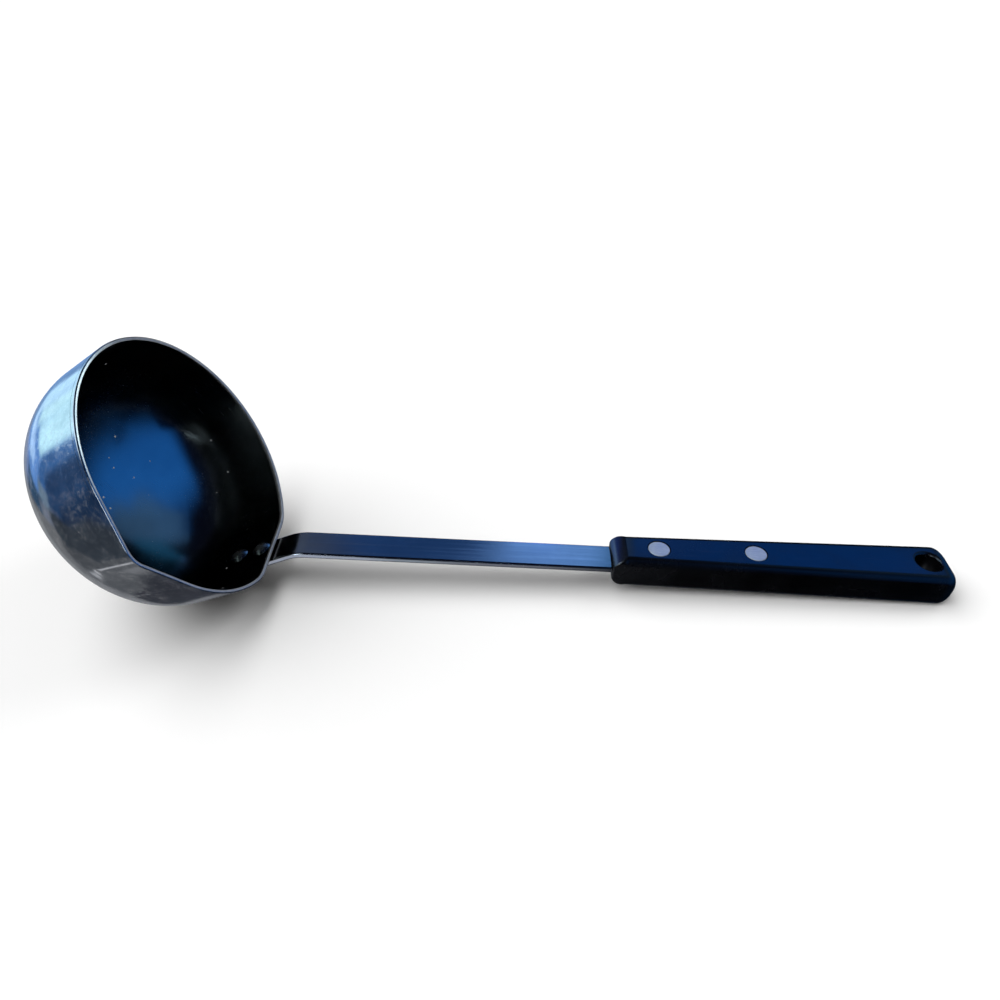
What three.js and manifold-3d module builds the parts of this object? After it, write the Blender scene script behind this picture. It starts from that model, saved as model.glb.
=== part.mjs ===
import * as THREE from 'three';
import { mergeVertices } from 'three/addons/utils/BufferGeometryUtils.js';
import Module from 'manifold-3d';

// A soup ladle: a pressed steel bowl with a pouring lip, a flat bent shank riveted to the outside of the
// bowl's wall, and a moulded handle held on the shank's tang by two compression rivets.
// Millimetres, +Z up. It lies on its bowl and on the end of its handle, which points along +X.

const DEG = Math.PI / 180;

// Gap left between pieces that touch
const clearance = 0.3;

// Bowl: a leaning straight wall, a shoulder arc and a flatter crown at the bottom, all measured outside
const rimRadius = 47.6;
const bowlDepth = 49.2;
const wallDraft = 5.5 * DEG;
const shoulderRadius = 30.5;
const crownRadius = 56;
const sheet = 1.4;
const rimBreak = 0.35;

// Angle between the bowl's axis, out of its mouth, and the shank
const bowlLean = 30.5 * DEG;

// Pouring lip: reach of its sharp corner past the round rim, rounding of that corner, how far down the
// wall the ridge runs, and its place round the rim from the shank
const lipReach = 5;
const lipRound = 8.5;
const lipDepth = 20.5;
const lipAngle = -92 * DEG;

// Flat pressed into the wall under the shank, the blend at its edges and the angle it stays within
const seatInset = 2.7;
const seatBlend = 1.2;
const seatSpan = 60 * DEG;

// Shank: seat below the rim, neck from the rim to the corner of the bend, straight run to the handle
const shankWidth = 12.7;
const shankThickness = 2.4;
const shankEdge = 0.35;
const seatLength = 20.5;
const seatCorner = 5;
const neckLength = 9.2;
const bendRadius = 18;
const shankLength = 118;
const tangWidth = 8.5;
const tangLength = 66;

// Handle: a moulding that grows wider to its rounded end. Its front is bevelled above and below, and the
// bevels swell from the straight line (0) toward the square corner (1).
const handleLength = 129;
const handleFrontWidth = 15.3;
const handleEndWidth = 20.4;
const handleThickness = 13.5;
const handleEdge = 3;
const handleNose = 6.5;
const endRoundShare = 0.95;
const frontHeight = 5;
const frontBevel = 5.6;
const frontSwell = 0.5;
const frontCorner = 0.3;
const tangRise = 0.22;

// Hang hole: bore, rounding of its mouths and distance from the handle's end
const hangRadius = 4.6;
const hangMouth = 1.3;
const hangFromEnd = 10.1;

// Compression rivets of the handle, their places counted from its front
const frontRivetAt = 17.4;
const rivetPitch = 36.4;
const rivetHeadRadius = 4.05;
const rivetHeadHeight = 1.6;
const rivetHeadBreak = 0.2;
const rivetSunk = 0.1;
const postRadius = 2.5;
const postBoreRadius = 1.7;

// Solid rivets of the bowl, their places counted down the wall from the rim
const upperRivetAt = 5;
const bowlRivetPitch = 10;
const bowlRivetRadius = 2;
const bowlHeadRadius = 3.9;
const bowlHeadHeight = 1.5;
const bowlTailRadius = 3.3;
const bowlTailHeight = 1.2;

// Facets
const bowlColumns = 108;
const wallRows = 5;
const shoulderRows = 6;
const crownRows = 4;
const roundSegments = 24;
const cornerSteps = 4;
const bevelSteps = 4;
const noseSteps = 6;
const arcSteps = 6;

// Search for the tilt at rest
const restTiltLimit = 20 * DEG;
const restTiltSteps = 30;

const wasm = await Module();
wasm.setup();

// Closed solid from a geometry: corners merged, collapsed triangles dropped, faces turned outward
function toSolid(geometry) {
  geometry.deleteAttribute('normal');
  geometry.deleteAttribute('uv');
  const merged = mergeVertices(geometry);
  const place = merged.attributes.position;
  const index = merged.index.array;
  const corners = [new THREE.Vector3(), new THREE.Vector3(), new THREE.Vector3()];
  const triangles = [];
  let volume = 0;
  for (let i = 0; i < index.length; i += 3) {
    const [a, b, c] = index.slice(i, i + 3);
    if (a !== b && b !== c && c !== a) {
      triangles.push([a, b, c]);
      [a, b, c].forEach((vertex, k) => corners[k].fromBufferAttribute(place, vertex));
      volume += corners[0].dot(corners[1].cross(corners[2])) / 6;
    }
  }
  const outward = volume > 0 ? triangles : triangles.map(([a, b, c]) => [a, c, b]);
  return new wasm.Manifold(new wasm.Mesh({
    numProp: 3,
    vertProperties: new Float32Array(place.array),
    triVerts: new Uint32Array(outward.flat()),
  }));
}

function toGeometry(solid) {
  const mesh = solid.getMesh();
  const geometry = new THREE.BufferGeometry();
  geometry.setAttribute('position', new THREE.BufferAttribute(mesh.vertProperties, 3));
  geometry.setIndex(new THREE.BufferAttribute(mesh.triVerts, 1));
  geometry.computeVertexNormals();
  return geometry;
}

function cutAll(solid, tools) {
  return tools.reduce((rest, tool) => rest.subtract(tool), solid);
}

function piece(name, solid, finish) {
  const mesh = new THREE.Mesh(toGeometry(solid), new THREE.MeshStandardMaterial(finish));
  mesh.name = name;
  return mesh;
}

const polishedSteel = { color: 0x9fa8b4, metalness: 1, roughness: 0.22 };
const shankSteel = { color: 0x97a0ad, metalness: 1, roughness: 0.3 };
const blackMoulding = { color: 0x090a0e, metalness: 0, roughness: 0.28 };
const rivetMetal = { color: 0xb9c0c8, metalness: 1, roughness: 0.4 };

// Round bar along Z between two heights
function bar(radius, low, high) {
  return new THREE.CylinderGeometry(radius, radius, high - low, roundSegments)
    .rotateX(Math.PI / 2)
    .translate(0, 0, (low + high) / 2);
}

function block(low, high) {
  const size = new THREE.Vector3().subVectors(high, low);
  const middle = new THREE.Vector3().addVectors(low, high).multiplyScalar(0.5);
  return new THREE.BoxGeometry(size.x, size.y, size.z).translate(middle.x, middle.y, middle.z);
}

// Revolved about Z from a profile of radius and height
function turned(profile, segments = roundSegments) {
  return new THREE.LatheGeometry(profile, segments).rotateX(Math.PI / 2);
}

// Skin over rings that all have the same number of points, closed flat at both ends
function loft(rings) {
  const count = rings[0].length;
  const index = [];
  for (let ring = 0; ring + 1 < rings.length; ring += 1) {
    for (let k = 0; k < count; k += 1) {
      const here = ring * count + k;
      const next = ring * count + ((k + 1) % count);
      index.push(here, next, next + count, here, next + count, here + count);
    }
  }
  const last = (rings.length - 1) * count;
  for (let k = 1; k + 1 < count; k += 1) {
    index.push(0, k + 1, k, last, last + k, last + k + 1);
  }
  const geometry = new THREE.BufferGeometry().setFromPoints(rings.flat());
  return geometry.setIndex(index);
}

// Centre of the shoulder arc, which touches the straight wall and the crown from inside. Its radius is
// measured from the bowl's axis and its depth from the rim.
const crownCentreDepth = bowlDepth - crownRadius;
const shoulderCentre = findShoulderCentre();
const crownStart = Math.atan2(shoulderCentre.depth - crownCentreDepth, shoulderCentre.radius);

function findShoulderCentre() {
  const slope = Math.tan(wallDraft);
  const reach = rimRadius - shoulderRadius / Math.cos(wallDraft);
  const square = 1 + slope ** 2;
  const half = reach * slope + crownCentreDepth;
  const rest = reach ** 2 + crownCentreDepth ** 2 - (crownRadius - shoulderRadius) ** 2;
  const depth = (half + Math.sqrt(half ** 2 - square * rest)) / square;
  return { radius: reach - depth * slope, depth };
}

// Meridian from just below the rim to the axis, set in from the outside by a share of the sheet
function meridian(inset) {
  const shoulder = shoulderRadius - inset;
  const crown = crownRadius - inset;
  const rim = rimRadius - rimBreak * Math.tan(wallDraft) - inset / Math.cos(wallDraft);
  const wallEnd = new THREE.Vector2(
    shoulderCentre.radius + shoulder * Math.cos(wallDraft),
    -shoulderCentre.depth - shoulder * Math.sin(wallDraft),
  );
  const wall = new THREE.LineCurve(new THREE.Vector2(rim, -rimBreak), wallEnd);
  const round = new THREE.EllipseCurve(
    shoulderCentre.radius, -shoulderCentre.depth, shoulder, shoulder, -wallDraft, -crownStart, true,
  );
  const base = new THREE.EllipseCurve(
    0, -crownCentreDepth, crown, crown, -crownStart, -Math.PI / 2, true,
  );
  const points = [
    ...wall.getPoints(wallRows),
    ...round.getPoints(shoulderRows).slice(1),
    ...base.getPoints(crownRows).slice(1),
  ];
  points.at(-1).x = 0;
  return points;
}

// Wall radius with the pouring lip: two straight flanks that leave the round wall as tangents and meet in
// a rounded corner, and that close on the wall as the lip fades out below the rim
function lippedRadius(radius, depth, turn, inset) {
  const fade = Math.max(0, 1 - depth / lipDepth);
  const flank = Math.acos(rimRadius / (rimRadius + lipReach * fade));
  const off = Math.abs(turn);
  if (off >= flank) {
    return radius;
  }
  const corner = lipRound - inset;
  const cornerCentre = (radius - corner) / Math.cos(flank);
  const cornerTurn = Math.atan2(corner * Math.sin(flank), cornerCentre + corner * Math.cos(flank));
  if (off >= cornerTurn) {
    return radius / Math.cos(flank - off);
  }
  return cornerCentre * Math.cos(off) + Math.sqrt(corner ** 2 - (cornerCentre * Math.sin(off)) ** 2);
}

// Wall radius with the seat's flat, which follows the wall's draft, blended into the round wall
function seatedRadius(radius, depth, angle, inset) {
  if (Math.abs(angle) > seatSpan) {
    return radius;
  }
  const atRim = rimRadius - seatInset - inset / Math.cos(wallDraft);
  const flat = (atRim - depth * Math.tan(wallDraft)) / Math.cos(angle);
  const share = THREE.MathUtils.clamp(0.5 + (flat - radius) / (2 * seatBlend), 0, 1);
  return THREE.MathUtils.lerp(flat, radius, share) - seatBlend * share * (1 - share);
}

// Bowl in its own frame: Z out of the mouth, X from the axis to the shank, the rim's plane at Z = 0.
// The sheet is revolved as a plain round bowl, then the lip and the seat are pressed into it.
function makeBowl() {
  const outside = meridian(0);
  const inside = meridian(sheet);
  const rim = rimRadius - rimBreak;
  const innerRim = rimRadius - sheet / Math.cos(wallDraft) + rimBreak;
  const edge = [new THREE.Vector2(rim, 0), new THREE.Vector2(innerRim, 0)];
  const profile = [...outside.slice().reverse(), ...edge, ...inside];
  const insets = [...outside.map(() => 0), rimBreak, sheet - rimBreak, ...inside.map(() => sheet)];
  const geometry = turned(profile, bowlColumns);
  const place = geometry.attributes.position;
  for (let i = 0; i < place.count; i += 1) {
    const inset = insets[i % profile.length];
    const radius = Math.hypot(place.getX(i), place.getY(i));
    if (radius > 0) {
      const angle = Math.atan2(place.getY(i), place.getX(i));
      const turn = Math.atan2(Math.sin(angle - lipAngle), Math.cos(angle - lipAngle));
      const lipped = lippedRadius(radius, -place.getZ(i), turn, inset);
      const pressed = seatedRadius(lipped, -place.getZ(i), angle, inset);
      place.setX(i, pressed * Math.cos(angle));
      place.setY(i, pressed * Math.sin(angle));
    }
  }
  const holes = bowlRivetPlaces.map((down) => {
    const hole = bar(bowlRivetRadius + clearance, -2 * sheet, sheet);
    return toSolid(hole.applyMatrix4(seatMatrix(down)));
  });
  return cutAll(toSolid(geometry), holes);
}

// Frame on the seat's outer face, in the bowl's frame, at a distance down the wall from the rim: its Z
// leaves the wall and its X runs up the wall
function seatMatrix(down) {
  const up = new THREE.Vector3(Math.sin(wallDraft), 0, Math.cos(wallDraft));
  const out = new THREE.Vector3(Math.cos(wallDraft), 0, -Math.sin(wallDraft));
  const matrix = new THREE.Matrix4().makeBasis(up, new THREE.Vector3().crossVectors(out, up), out);
  const point = new THREE.Vector3(rimRadius - seatInset, 0, 0).addScaledVector(up, -down);
  return matrix.setPosition(point);
}

const bowlRivetPlaces = [upperRivetAt, upperRivetAt + bowlRivetPitch];

// Spherical cap, from its edge to its top, for a rivet's head
function dome(radius, height, base) {
  const sphere = (radius ** 2 + height ** 2) / (2 * height);
  const start = Math.atan2(sphere - height, radius);
  const centre = base + height - sphere;
  const points = new THREE.EllipseCurve(0, centre, sphere, sphere, start, Math.PI / 2).getPoints(arcSteps);
  points.at(-1).x = 0;
  return points;
}

// Solid rivet in the seat's frame: domed head inside the bowl, flatter set tail on the shank
function makeBowlRivet() {
  const headSeat = -sheet - clearance;
  const tailSeat = 2 * clearance + shankThickness;
  const head = dome(bowlHeadRadius, bowlHeadHeight, -headSeat);
  const tail = dome(bowlTailRadius, bowlTailHeight, tailSeat);
  const profile = [
    ...head.reverse().map((point) => new THREE.Vector2(point.x, -point.y)),
    new THREE.Vector2(bowlRivetRadius, headSeat),
    new THREE.Vector2(bowlRivetRadius, tailSeat),
    ...tail,
  ];
  return toSolid(turned(profile));
}

// Directions in the ladle's plane of symmetry, with X along the shank and the rim's centre at the origin
const seatLean = bowlLean - wallDraft;
const acrossBowl = new THREE.Vector2(Math.sin(bowlLean), -Math.cos(bowlLean));
const upWall = new THREE.Vector2(Math.cos(seatLean), Math.sin(seatLean));
const outOfWall = new THREE.Vector2(Math.sin(seatLean), -Math.cos(seatLean));
const alongShank = new THREE.Vector2(1, 0);

// Middle line of the shank: the corner where the seat's line and the straight run would meet
const seatAtRim = acrossBowl.clone()
  .multiplyScalar(rimRadius - seatInset)
  .addScaledVector(outOfWall, clearance + shankThickness / 2);
const shankCorner = seatAtRim.clone().addScaledVector(upWall, neckLength);
const shoulderX = shankCorner.x + shankLength;
const handleX = shoulderX + clearance;

// Side view of the strip: seat, bend, straight run and tang
function shankOutline() {
  const half = shankThickness / 2;
  const tangent = bendRadius * Math.tan(seatLean / 2);
  const start = seatAtRim.clone().addScaledVector(upWall, -seatLength);
  const bendStart = shankCorner.clone().addScaledVector(upWall, -tangent);
  const bendEnd = shankCorner.clone().addScaledVector(alongShank, tangent);
  const centre = bendStart.clone().addScaledVector(outOfWall, bendRadius);
  const endX = shoulderX + tangLength;
  const startAbove = start.clone().addScaledVector(outOfWall, -half);
  const startBelow = start.clone().addScaledVector(outOfWall, half);
  const bentFrom = Math.PI / 2 + seatLean;
  const bentTo = Math.PI / 2;
  const outline = new THREE.Shape();
  outline.moveTo(startAbove.x, startAbove.y);
  outline.absarc(centre.x, centre.y, bendRadius + half, bentFrom, bentTo, true);
  outline.lineTo(endX, bendEnd.y + half);
  outline.lineTo(endX, bendEnd.y - half);
  outline.absarc(centre.x, centre.y, bendRadius - half, bentTo, bentFrom, false);
  outline.lineTo(startBelow.x, startBelow.y);
  return outline;
}

// Waste outside the rounded corners at the seat's end, with X up the wall from that end
function seatEndWaste() {
  const half = shankWidth / 2;
  const margin = shankThickness;
  const waste = new THREE.Shape();
  waste.moveTo(-margin, -half - margin);
  waste.lineTo(seatCorner, -half - margin);
  waste.lineTo(seatCorner, -half);
  waste.absarc(seatCorner, -half + seatCorner, seatCorner, -Math.PI / 2, -Math.PI, true);
  waste.lineTo(0, half - seatCorner);
  waste.absarc(seatCorner, half - seatCorner, seatCorner, Math.PI, Math.PI / 2, true);
  waste.lineTo(seatCorner, half + margin);
  waste.lineTo(-margin, half + margin);
  const depth = 3 * shankThickness;
  const geometry = new THREE.ExtrudeGeometry(waste, { depth, bevelEnabled: false, curveSegments: arcSteps });
  const end = seatAtRim.clone().addScaledVector(upWall, -seatLength);
  const frame = new THREE.Matrix4().makeBasis(
    new THREE.Vector3(upWall.x, 0, upWall.y),
    new THREE.Vector3(0, 1, 0),
    new THREE.Vector3(-outOfWall.x, 0, -outOfWall.y),
  );
  frame.setPosition(end.x, 0, end.y);
  return geometry.translate(0, 0, -depth / 2).applyMatrix4(frame);
}

function makeShank() {
  const strip = new THREE.ExtrudeGeometry(shankOutline(), {
    depth: shankWidth - 2 * shankEdge,
    bevelSize: shankEdge,
    bevelOffset: -shankEdge,
    bevelThickness: shankEdge,
    bevelSegments: 1,
    curveSegments: arcSteps,
  });
  strip.rotateX(Math.PI / 2).translate(0, shankWidth / 2 - shankEdge, 0);
  const margin = shankThickness;
  const notches = [-1, 1].map((hand) => {
    const low = new THREE.Vector3(shoulderX, tangWidth / 2, shankCorner.y - margin);
    const high = new THREE.Vector3(
      shoulderX + tangLength + margin, shankWidth / 2 + margin, shankCorner.y + margin,
    );
    const notch = block(low, high);
    return toSolid(hand > 0 ? notch : notch.rotateX(Math.PI).translate(0, 0, 2 * shankCorner.y));
  });
  const bowlHoles = bowlRivetPlaces.map((down) => {
    const hole = bar(bowlRivetRadius + clearance, -shankThickness, 2 * shankThickness);
    return toSolid(hole.applyMatrix4(seatMatrix(down)).applyMatrix4(bowlMatrix()));
  });
  const tangHoles = rivetPlaces.map((x) => {
    const hole = bar(postRadius + clearance, -shankThickness, shankThickness);
    return toSolid(hole.translate(handleX + x, 0, shankCorner.y));
  });
  return cutAll(toSolid(strip), [...notches, toSolid(seatEndWaste()), ...bowlHoles, ...tangHoles]);
}

function bowlMatrix() {
  return new THREE.Matrix4().makeRotationY(Math.PI / 2 - bowlLean);
}

const rivetPlaces = [frontRivetAt, frontRivetAt + rivetPitch];

// Cross-section of the handle: a rectangle with rounded corners, square to X
function handleRing(x, halfWidth, halfHeight, radius) {
  const points = [];
  for (let corner = 0; corner < 4; corner += 1) {
    const sideY = corner === 0 || corner === 3 ? 1 : -1;
    const sideZ = corner < 2 ? 1 : -1;
    for (let step = 0; step <= cornerSteps; step += 1) {
      const angle = (corner + step / cornerSteps) * (Math.PI / 2);
      const y = sideY * (halfWidth - radius) + radius * Math.cos(angle);
      const z = sideZ * (halfHeight - radius) + radius * Math.sin(angle);
      points.push(new THREE.Vector3(x, y, z));
    }
  }
  return points;
}

function handleHalfWidth(x) {
  return THREE.MathUtils.lerp(handleFrontWidth, handleEndWidth, x / handleLength) / 2;
}

// Handle body: bevelled front, straight flanks, end rounded alike in plan and in side view
function handleRings() {
  const half = handleThickness / 2;
  const start = new THREE.Vector2(0, frontHeight / 2);
  const end = new THREE.Vector2(frontBevel, half);
  const pull = start.clone().lerp(end, 0.5).lerp(new THREE.Vector2(0, half), frontSwell);
  const rings = new THREE.QuadraticBezierCurve(start, pull, end).getPoints(bevelSteps).map((point) => {
    const side = handleHalfWidth(point.x) - Math.max(0, frontCorner - point.x);
    const radius = THREE.MathUtils.lerp(frontCorner, handleEdge, (point.x / frontBevel) ** 2);
    return handleRing(point.x, side, point.y, radius);
  });
  for (let step = 0; step <= noseSteps; step += 1) {
    const angle = (step / noseSteps) * (Math.PI / 2);
    const inset = handleNose * (1 - Math.cos(angle));
    const x = handleLength - handleNose * (1 - Math.sin(angle));
    const halfWidth = handleHalfWidth(handleLength - handleNose) - inset;
    const radius = Math.min(handleEdge + inset / 2, endRoundShare * (half - inset));
    rings.push(handleRing(x, halfWidth, half - inset, radius));
  }
  return rings;
}

// Cutter for the hang hole: a bore whose mouths round out into both faces
function hangCutter() {
  const half = handleThickness / 2;
  const mouth = (centreZ, from, to) => new THREE.EllipseCurve(
    hangRadius + hangMouth, centreZ, hangMouth, hangMouth, from, to, true,
  ).getPoints(arcSteps);
  const wide = hangRadius + hangMouth;
  const beyond = half + hangMouth;
  const profile = [
    new THREE.Vector2(0, -beyond),
    new THREE.Vector2(wide, -beyond),
    ...mouth(hangMouth - half, 1.5 * Math.PI, Math.PI),
    ...mouth(half - hangMouth, Math.PI, Math.PI / 2),
    new THREE.Vector2(wide, beyond),
    new THREE.Vector2(0, beyond),
  ];
  return turned(profile).translate(handleLength - hangFromEnd, 0, 0);
}

// Handle in its own frame: the front face at X = 0, the middle of its thickness at Z = 0
function makeHandle() {
  const half = handleThickness / 2;
  const pocketHalf = tangWidth / 2 + clearance;
  const slotHalf = shankThickness / 2 + clearance;
  const pocket = block(
    new THREE.Vector3(-handleEdge, -pocketHalf, tangRise - slotHalf),
    new THREE.Vector3(tangLength, pocketHalf, tangRise + slotHalf),
  );
  const seatDepth = rivetSunk + rivetHeadHeight + clearance;
  const bores = rivetPlaces.flatMap((x) => [
    bar(postRadius + clearance, -handleThickness, handleThickness).translate(x, 0, 0),
    bar(rivetHeadRadius + clearance, half - seatDepth, handleThickness).translate(x, 0, 0),
    bar(rivetHeadRadius + clearance, -handleThickness, seatDepth - half).translate(x, 0, 0),
  ]);
  return cutAll(toSolid(loft(handleRings())), [pocket, ...bores, hangCutter()].map(toSolid));
}

// Compression rivet across the handle: the post's tube takes the cap's pin
const rivetFace = handleThickness / 2 - rivetSunk;
const underHead = rivetFace - rivetHeadHeight;
const postTop = underHead - clearance;

function makeRivetPost() {
  const profile = [
    new THREE.Vector2(0, -rivetFace),
    new THREE.Vector2(rivetHeadRadius - rivetHeadBreak, -rivetFace),
    new THREE.Vector2(rivetHeadRadius, rivetHeadBreak - rivetFace),
    new THREE.Vector2(rivetHeadRadius, -underHead),
    new THREE.Vector2(postRadius, -underHead),
    new THREE.Vector2(postRadius, postTop),
    new THREE.Vector2(postBoreRadius, postTop),
    new THREE.Vector2(postBoreRadius, -underHead),
    new THREE.Vector2(0, -underHead),
  ];
  return toSolid(turned(profile));
}

function makeRivetCap() {
  const pinRadius = postBoreRadius - clearance;
  const profile = [
    new THREE.Vector2(0, clearance - underHead),
    new THREE.Vector2(pinRadius, clearance - underHead),
    new THREE.Vector2(pinRadius, underHead),
    new THREE.Vector2(rivetHeadRadius, underHead),
    new THREE.Vector2(rivetHeadRadius, rivetFace - rivetHeadBreak),
    new THREE.Vector2(rivetHeadRadius - rivetHeadBreak, rivetFace),
    new THREE.Vector2(0, rivetFace),
  ];
  return toSolid(turned(profile));
}

// Tilt at rest: found by halving until the lowest points of the bowl and of the handle are level
function restTilt(bowl, handle) {
  let least = -restTiltLimit;
  let most = restTiltLimit;
  for (let step = 0; step < restTiltSteps; step += 1) {
    const tilt = (least + most) / 2;
    if (lowest(bowl, tilt) < lowest(handle, tilt)) {
      least = tilt;
    } else {
      most = tilt;
    }
  }
  return (least + most) / 2;
}

// Height of a piece's lowest corner after the whole ladle is tilted about Y
function lowest(mesh, tilt) {
  mesh.updateWorldMatrix(true, false);
  const place = mesh.geometry.clone().applyMatrix4(mesh.matrixWorld).attributes.position;
  let low = Infinity;
  for (let i = 0; i < place.count; i += 1) {
    low = Math.min(low, place.getZ(i) * Math.cos(tilt) - place.getX(i) * Math.sin(tilt));
  }
  return low;
}

// Assembly, first about the rim's centre with the shank along X
const bowlGroup = new THREE.Group();
bowlGroup.applyMatrix4(bowlMatrix());
const bowl = piece('bowl', makeBowl(), polishedSteel);
bowlGroup.add(bowl);

['bowl_rivet_upper', 'bowl_rivet_lower'].forEach((name, k) => {
  const seat = new THREE.Group();
  seat.applyMatrix4(seatMatrix(bowlRivetPlaces[k]));
  seat.add(piece(name, makeBowlRivet(), rivetMetal));
  bowlGroup.add(seat);
});

const handleGroup = new THREE.Group();
handleGroup.position.set(handleX, 0, shankCorner.y - tangRise);
const handle = piece('handle', makeHandle(), blackMoulding);
handleGroup.add(handle);

['handle_rivet_front', 'handle_rivet_rear'].forEach((name, k) => {
  const rivet = new THREE.Group();
  rivet.position.x = rivetPlaces[k];
  rivet.add(piece(`${name}_post`, makeRivetPost(), rivetMetal));
  rivet.add(piece(`${name}_cap`, makeRivetCap(), rivetMetal));
  handleGroup.add(rivet);
});

const tilted = new THREE.Group();
tilted.rotation.y = restTilt(bowl, handle);
tilted.add(bowlGroup, piece('shank', makeShank(), shankSteel), handleGroup);

// Origin in the middle of the ladle's footprint, on the surface it lies on
const ladle = new THREE.Group();
ladle.add(tilted);
ladle.updateMatrixWorld(true);
const extent = new THREE.Box3().setFromObject(ladle, true);
const middle = extent.getCenter(new THREE.Vector3());
tilted.position.set(-middle.x, -middle.y, -extent.min.z);

export default ladle;
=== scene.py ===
import math

import bpy
import numpy as np
from mathutils import Euler, Matrix, Vector


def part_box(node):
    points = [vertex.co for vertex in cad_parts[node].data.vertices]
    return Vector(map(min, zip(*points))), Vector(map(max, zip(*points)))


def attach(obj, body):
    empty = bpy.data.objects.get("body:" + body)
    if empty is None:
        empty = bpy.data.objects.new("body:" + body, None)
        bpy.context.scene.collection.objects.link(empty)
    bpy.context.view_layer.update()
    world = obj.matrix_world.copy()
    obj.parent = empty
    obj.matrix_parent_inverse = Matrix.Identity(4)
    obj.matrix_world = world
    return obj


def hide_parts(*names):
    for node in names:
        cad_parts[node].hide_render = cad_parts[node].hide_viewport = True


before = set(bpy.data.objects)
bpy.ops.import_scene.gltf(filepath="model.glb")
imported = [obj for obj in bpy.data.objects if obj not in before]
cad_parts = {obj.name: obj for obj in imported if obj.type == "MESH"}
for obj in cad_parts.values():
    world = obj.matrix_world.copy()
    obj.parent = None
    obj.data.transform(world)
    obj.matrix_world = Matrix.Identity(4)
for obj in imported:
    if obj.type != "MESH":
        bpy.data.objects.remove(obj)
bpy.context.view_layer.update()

MM = 0.001

# Bowl, outside measures: straight wall, shoulder arc, crown
RIM_RADIUS = 47.6 * MM
BOWL_DEPTH = 49.2 * MM
WALL_DRAFT = math.radians(5.5)
SHOULDER_RADIUS = 30.5 * MM
CROWN_RADIUS = 56 * MM
SHEET = 1.4 * MM
RIM_ROUND = 0.42 * MM
BOWL_LEAN = math.radians(30.5)
LIP_REACH = 5 * MM
LIP_ROUND = 8.5 * MM
LIP_DEPTH = 20.5 * MM
LIP_ANGLE = math.radians(-92)
SEAT_INSET = 2.7 * MM
SEAT_BLEND = 1.2 * MM
SEAT_SPAN = math.radians(60)

# Painted highlight inside the rim: the rim's pale ground finish laid on one side only, where light falls
# on the inner wall; width, the side that it lies on, strength
PAINTED_HIGHLIGHT_WIDTH = 0.9 * MM
PAINTED_HIGHLIGHT_SIDE = math.radians(50)
PAINTED_HIGHLIGHT_SHARE = 0.8

# How far the fine skin lies inside the faceted solids, so that it stays in their box
SKIN = 0.16 * MM

# Shank
CLEARANCE = 0.3 * MM
SHANK_WIDTH = 12.7 * MM
SHANK_THICKNESS = 2.4 * MM
SHANK_EDGE = 0.7 * MM
SEAT_LENGTH = 20.5 * MM
SEAT_CORNER = 5 * MM
NECK_LENGTH = 9.2 * MM
BEND_RADIUS = 18 * MM
SHANK_LENGTH = 118 * MM
TANG_WIDTH = 8.5 * MM
TANG_LENGTH = 66 * MM

# Handle
HANDLE_LENGTH = 129 * MM
FRONT_WIDTH = 15.3 * MM
END_WIDTH = 20.4 * MM
HANDLE_THICKNESS = 13.5 * MM
HANDLE_EDGE = 3 * MM
HANDLE_NOSE = 6.5 * MM
END_ROUND_SHARE = 0.95
FRONT_HEIGHT = 5 * MM
FRONT_BEVEL = 5.6 * MM
FRONT_SWELL = 0.5
FRONT_CORNER = 0.3 * MM
TANG_RISE = 0.22 * MM
HANG_RADIUS = 4.6 * MM
HANG_MOUTH = 1.3 * MM
HANG_FROM_END = 10.1 * MM

# Rivets
FRONT_RIVET_AT = 17.4 * MM
RIVET_PITCH = 36.4 * MM
RIVET_HEAD_RADIUS = 4.05 * MM
RIVET_HEAD_HEIGHT = 1.6 * MM
RIVET_HEAD_BREAK = 0.3 * MM
RIVET_SUNK = 0.1 * MM
POST_RADIUS = 2.5 * MM
POST_BORE_RADIUS = 1.7 * MM
UPPER_RIVET_AT = 5 * MM
BOWL_RIVET_PITCH = 10 * MM
BOWL_RIVET_RADIUS = 2 * MM
BOWL_HEAD_RADIUS = 3.9 * MM
BOWL_HEAD_HEIGHT = 1.5 * MM
BOWL_TAIL_RADIUS = 3.3 * MM
BOWL_TAIL_HEIGHT = 1.2 * MM
SCUFF_DEPTH = 1.2 * MM
BOWL_RIVET_SCUFF = 0.2
HANDLE_RIVET_SCUFF = 1.0

# Facets: steps along each stretch and segments around
WALL_TOP_STEP = 0.3 * MM
WALL_TOP_ROWS = 6
WALL_ROWS = 25
SHOULDER_ROWS = 26
CROWN_ROWS = 21
RIM_STEPS = 6
BOWL_COLUMNS = 288
SEAT_STEPS = 16
BEND_STEPS = 18
RUN_STEPS = 23
TANG_STEPS = 15
STRIP_EDGE_STEPS = 6
BEVEL_STEPS = 14
GRIP_STEPS = 39
NOSE_STEPS = 18
HANDLE_EDGE_STEPS = 10
DOME_STEPS = 12
MOUTH_STEPS = 12
BREAK_STEPS = 5
ROUND_SEGMENTS = 64
HANG_SEGMENTS = 96

# Edges that turn by more than these angles, in degrees, stay sharp
BOWL_SHARP = 40
SHANK_SHARP = 22
HANDLE_SHARP = 13
RIVET_SHARP = 30

QUARTER = math.pi / 2
UNTURNED = Matrix.Identity(4)
bowl_rivet_places = (UPPER_RIVET_AT, UPPER_RIVET_AT + BOWL_RIVET_PITCH)
handle_rivet_places = (FRONT_RIVET_AT, FRONT_RIVET_AT + RIVET_PITCH)

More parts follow.
